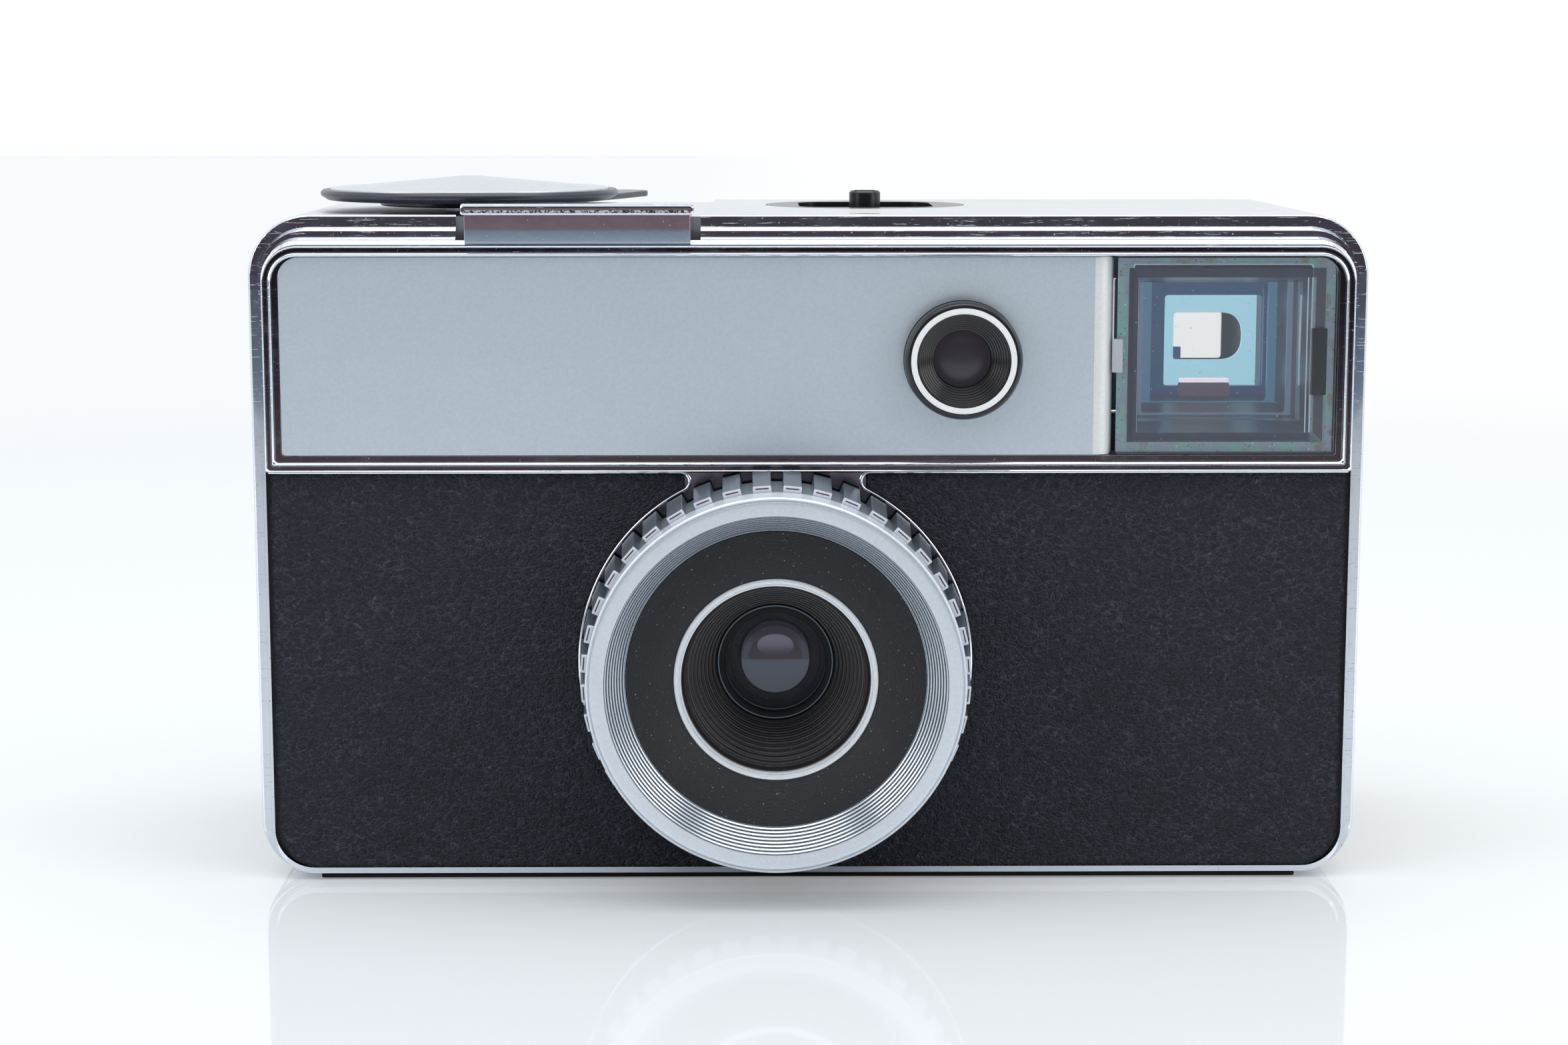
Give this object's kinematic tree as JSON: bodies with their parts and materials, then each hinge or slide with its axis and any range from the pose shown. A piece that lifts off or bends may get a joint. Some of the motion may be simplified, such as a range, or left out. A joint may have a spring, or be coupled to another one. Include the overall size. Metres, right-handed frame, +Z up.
{
  "type": "viewfinder cartridge camera",
  "caption": "Compact viewfinder camera with a focusing lens ring, release key, winding lever, flash socket, gear train and a hinged back over a cartridge space.",
  "frame": {"origin": "mouth of the tripod socket in the middle of the base", "axes": "+X to the right seen from the front, +Y to the back, +Z up; the lens looks along -Y"},
  "size_m": [0.109, 0.0564, 0.0678],
  "materials": {
    "chrome_trim": "bright plated",
    "satin_plate": "satin",
    "leather": "grained",
    "black_body": "matte moulded",
    "black_gloss": "gloss moulded",
    "top_grey": "fine satin",
    "optical_glass": "polished",
    "finder_metal": "tinted",
    "white_ring": "gloss",
    "steel": "turned",
    "brass": "turned",
    "circuit": "laminate",
    "spring_steel": "drawn wire"
  },
  "bodies": {
    "camera_body": {"aperture_plate": "black_body", "base_plate": "top_grey", "base_screws": "steel", "batteries": "steel", "battery_contact": "spring_steel", "body_shell": "black_body", "circuit_board": "circuit", "film_gate": "black_body", "front_frame": "chrome_trim", "front_leather": "leather", "front_plate": "black_body", "gear_plate": "steel", "hinge_pin": "steel", "lens_barrel": "black_body", "lens_base": "chrome_trim", "name_plate": "satin_plate", "name_plate_trim": "chrome_trim", "photocell": "black_gloss", "photocell_bezel": "black_gloss", "photocell_glass": "optical_glass", "photocell_ring": "white_ring", "rear_lens": "optical_glass", "release_spring": "spring_steel", "shutter_magnet": "steel", "shutter_plate": "black_body", "top_cover": "top_grey", "tripod_socket": "steel", "viewfinder_eyepiece": "optical_glass", "viewfinder_front_lens": "optical_glass", "viewfinder_mask": "black_body", "viewfinder_tube": "finder_metal", "viewfinder_window": "optical_glass"},
    "release_key": {"release_key": "chrome_trim"},
    "wind_lever": {"wind_disc": "black_gloss", "wind_cap": "satin_plate", "thumb_lever": "black_gloss", "wind_spindle": "steel", "wind_gear": "brass", "film_pinion": "brass"},
    "idler_gear": {"idler_gear": "brass"},
    "film_drive": {"film_gear": "brass", "film_coupler": "brass"},
    "flash_rotor": {"flash_socket": "black_gloss", "flash_contacts": "brass", "flash_gear": "brass"},
    "focus_ring": {"focus_ring": "chrome_trim", "front_ring": "chrome_trim", "front_annulus": "black_body", "bright_ring": "chrome_trim", "lens_hood": "black_body"},
    "lens_cell": {"lens_cell": "black_body", "front_lens": "optical_glass"},
    "shutter_blade_left": {"shutter_blade_left": "steel"},
    "shutter_blade_right": {"shutter_blade_right": "steel"},
    "back_door": {"back_door": "black_body", "door_leather": "leather", "door_window": "optical_glass", "cartridge_springs": "spring_steel"},
    "door_latch": {"door_latch": "black_gloss"},
    "battery_cover": {"battery_cover": "black_gloss"}
  },
  "joints": [
    {"name": "release_press", "type": "slide", "parent": "camera_body", "child": "release_key", "axis": [0, 0, -1], "range_m": [0, 0.002], "stiffness_N_per_m": 300, "springref_m": -0.003, "deforming": ["release_spring"]},
    {"name": "wind_stroke", "type": "hinge", "parent": "camera_body", "child": "wind_lever", "pos_m": [-0.0338, -0.001, 0.0655], "axis": [0, 0, 1], "range_deg": [0, 108], "stiffness_Nm_per_rad": 0.01, "springref_deg": -28.65},
    {"name": "idler_turn", "type": "hinge", "parent": "camera_body", "child": "idler_gear", "pos_m": [-0.014, -0.00108, 0.0552], "axis": [0, 0, 1], "range_deg": [-47.5, 0.5]},
    {"name": "film_turn", "type": "hinge", "parent": "camera_body", "child": "film_drive", "pos_m": [-0.02575, 0.00423, 0.044], "axis": [0, 0, 1], "range_deg": [-181, 1]},
    {"name": "flash_turn", "type": "hinge", "parent": "camera_body", "child": "flash_rotor", "pos_m": [0.0061, 0.005, 0.06], "axis": [0, 0, 1], "range_deg": [-0.5, 90.5]},
    {"name": "focus_turn", "type": "hinge", "parent": "camera_body", "child": "focus_ring", "pos_m": [-0.00325, -0.024, 0.02156], "axis": [0, -1, 0], "range_deg": [0, 120]},
    {"name": "cell_travel", "type": "slide", "parent": "camera_body", "child": "lens_cell", "axis": [0, -1, 0], "range_m": [0, 0.00122]},
    {"name": "blade_left_swing", "type": "hinge", "parent": "camera_body", "child": "shutter_blade_left", "pos_m": [-0.01525, -0.011, 0.02156], "axis": [0, 1, 0], "range_deg": [0, 36], "stiffness_Nm_per_rad": 0.0002, "springref_deg": -34.38},
    {"name": "blade_right_swing", "type": "hinge", "parent": "camera_body", "child": "shutter_blade_right", "pos_m": [0.00875, -0.011, 0.02156], "axis": [0, 1, 0], "range_deg": [-0.5, 36.5]},
    {"name": "door_swing", "type": "hinge", "parent": "camera_body", "child": "back_door", "pos_m": [-0.05125, 0.01675, 0.02], "axis": [0, 0, 1], "range_deg": [0, 105]},
    {"name": "latch_slide", "type": "slide", "parent": "camera_body", "child": "door_latch", "axis": [0, 0, -1], "range_m": [0, 0.004], "stiffness_N_per_m": 200, "springref_m": -0.004},
    {"name": "battery_cover_turn", "type": "hinge", "parent": "camera_body", "child": "battery_cover", "pos_m": [0.04312, 0.001, 0.0015], "axis": [0, 0, -1], "range_deg": [0, 90]}
  ],
  "couplings": [
    {"joint": "idler_turn", "follows": "wind_stroke", "ratio": -0.43478},
    {"joint": "film_turn", "follows": "wind_stroke", "ratio": -1.6667},
    {"joint": "flash_turn", "follows": "wind_stroke", "ratio": 0.83333},
    {"joint": "cell_travel", "follows": "focus_turn", "m_per_rad": 0.00057296},
    {"joint": "blade_right_swing", "follows": "blade_left_swing", "ratio": 1}
  ]
}
